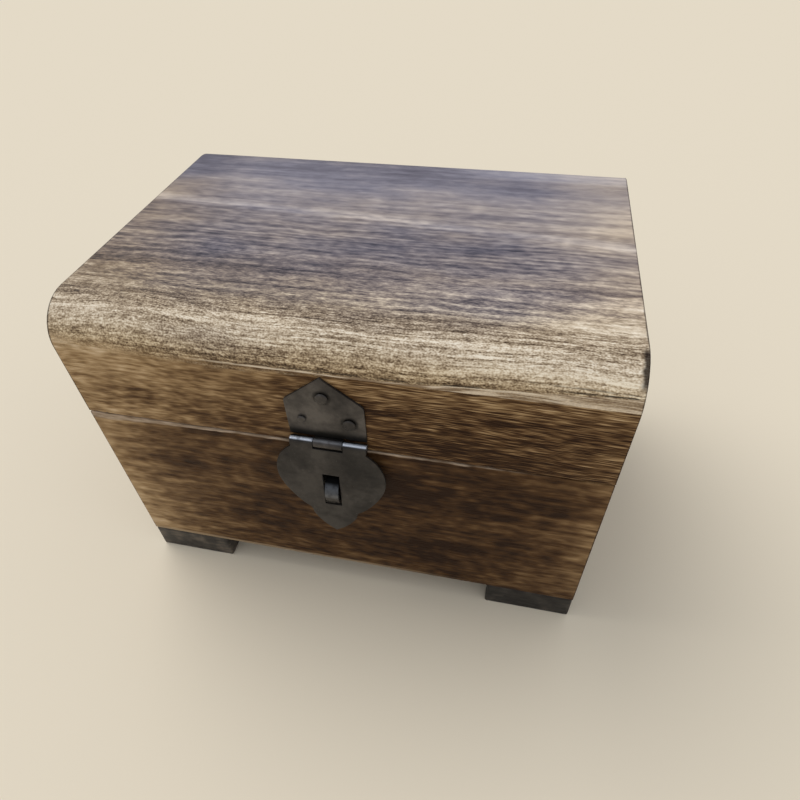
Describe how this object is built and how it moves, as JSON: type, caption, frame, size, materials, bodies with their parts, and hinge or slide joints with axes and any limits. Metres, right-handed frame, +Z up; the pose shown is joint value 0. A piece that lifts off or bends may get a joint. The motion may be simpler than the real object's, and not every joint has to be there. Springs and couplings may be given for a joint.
{
  "type": "dice storage chest",
  "caption": "Small stained-wood chest on block feet, with a rounded lid on two rear hinges and a heart-shaped hasp that swings over a bridge catch.",
  "frame": {"origin": "bottom centre of the bounding box: on the floor, midway between the ends, and midway between the front of the shut hasp and the back of the hinges", "axes": "+Z up; -Y is the front, with the hasp; +X to the right of a person facing the front"},
  "size_m": [0.152, 0.119, 0.11],
  "materials": {
    "body_wood": "dark brown stain over open grain, satin",
    "lid_wood": "dark brown stain, rubbed pale on the rounded edges, satin",
    "foot_wood": "near black stain",
    "hasp_iron": "dark antique plating, semi-matt",
    "hinge_iron": "dark antique plating, semi-matt",
    "nail_iron": "dark antique plating, semi-matt",
    "pin_steel": "bare wire"
  },
  "bodies": {
    "root": {"body_front_board": "body_wood", "body_back_board": "body_wood", "body_left_end": "body_wood", "body_right_end": "body_wood", "body_floor": "body_wood", "foot_front_left": "foot_wood", "foot_front_right": "foot_wood", "foot_rear_left": "foot_wood", "foot_rear_right": "foot_wood", "catch_plate": "hasp_iron", "catch_nails": "nail_iron", "hinge_left_body_leaf": "hinge_iron", "hinge_right_body_leaf": "hinge_iron", "hinge_left_pin": "pin_steel", "hinge_right_pin": "pin_steel", "hinge_body_nails": "nail_iron"},
    "lid": {"lid_top_board": "lid_wood", "lid_front_rail": "lid_wood", "lid_back_rail": "lid_wood", "lid_left_end": "lid_wood", "lid_right_end": "lid_wood", "hasp_upper_leaf": "hasp_iron", "hasp_nails": "nail_iron", "hasp_pin": "pin_steel", "hinge_left_lid_leaf": "hinge_iron", "hinge_right_lid_leaf": "hinge_iron", "hinge_lid_nails": "nail_iron"},
    "hasp": {"hasp_heart_plate": "hasp_iron"}
  },
  "joints": [
    {"name": "lid_hinge", "type": "hinge", "parent": "root", "child": "lid", "pos_m": [0, 0.05804, 0.073], "axis": [-1, 0, 0], "range_deg": [0, 180]},
    {"name": "hasp_swing", "type": "hinge", "parent": "lid", "child": "hasp", "pos_m": [-0.0004, -0.05486, 0.0753], "axis": [-1, 0, 0], "range_deg": [0, 145]}
  ]
}
